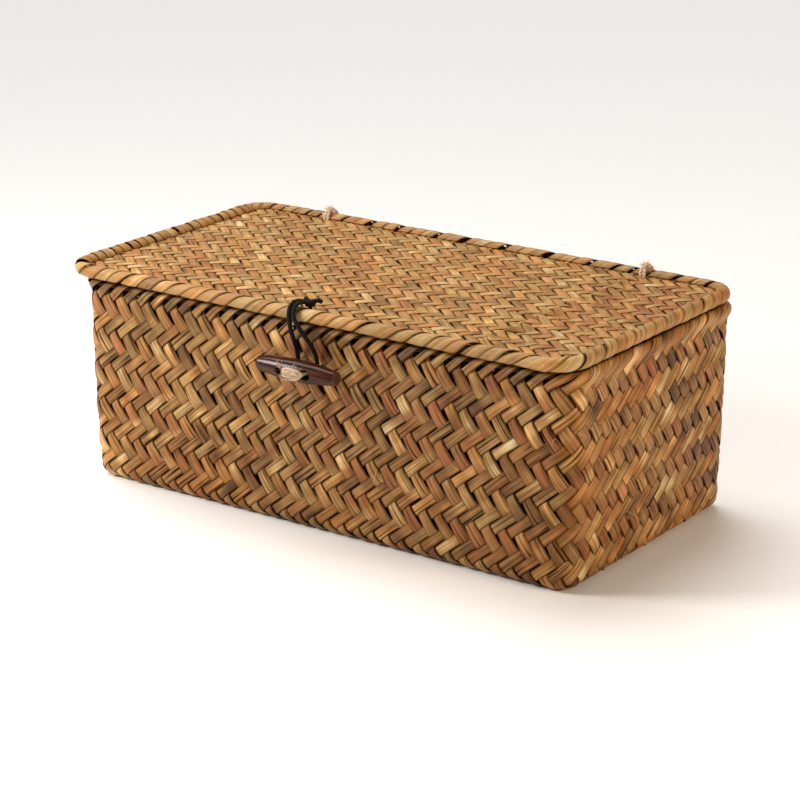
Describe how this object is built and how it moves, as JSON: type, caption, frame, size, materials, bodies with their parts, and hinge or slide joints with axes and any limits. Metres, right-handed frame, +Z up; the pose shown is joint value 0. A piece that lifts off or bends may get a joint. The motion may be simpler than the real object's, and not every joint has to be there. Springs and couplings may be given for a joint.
{
  "type": "lidded storage basket",
  "caption": "Low rectangular storage basket of plaited grass strips, with a tie-hinged lid, a toggle and a cord loop.",
  "frame": {"origin": "middle of the base, on the surface that the basket stands on", "axes": "+X to the right along the length seen from the front, -Y the front with the toggle, +Z up"},
  "size_m": [0.265, 0.156, 0.1055],
  "materials": {
    "grass_weave": "plaited dry grass strips, satin",
    "lid_weave": "plaited dry grass strips, satin",
    "grass_binding": "wrapped dry grass strips, satin",
    "cane": "matte",
    "twine": "matte natural fibre",
    "toggle_horn": "polished",
    "elastic": "matte braided cord"
  },
  "bodies": {
    "basket": {"woven_shell": "grass_weave", "rim_core": "cane", "rim_binding": "grass_binding"},
    "lid": {"lid_panel": "lid_weave", "lid_core": "cane", "lid_binding": "grass_binding", "hinge_tie_left": "twine", "hinge_tie_right": "twine", "loop_knot": "elastic"},
    "toggle": {"toggle": "toggle_horn", "toggle_twine": "twine"},
    "loop": {"loop_cord": "elastic"}
  },
  "joints": [
    {"name": "lid_hinge", "type": "hinge", "parent": "basket", "child": "lid", "pos_m": [0, 0.0659, 0.0914], "axis": [-1, 0, 0], "range_deg": [0, 130]},
    {"name": "toggle_turn", "type": "hinge", "parent": "basket", "child": "toggle", "pos_m": [0, -0.0762, 0.0755], "axis": [0, 1, 0], "range_deg": [-90, 90]},
    {"name": "loop_swing", "type": "hinge", "parent": "lid", "child": "loop", "pos_m": [-0.0045, -0.0695, 0.0978], "axis": [-1, 0, 0], "range_deg": [0, 110], "deforming": ["loop_cord"]}
  ]
}
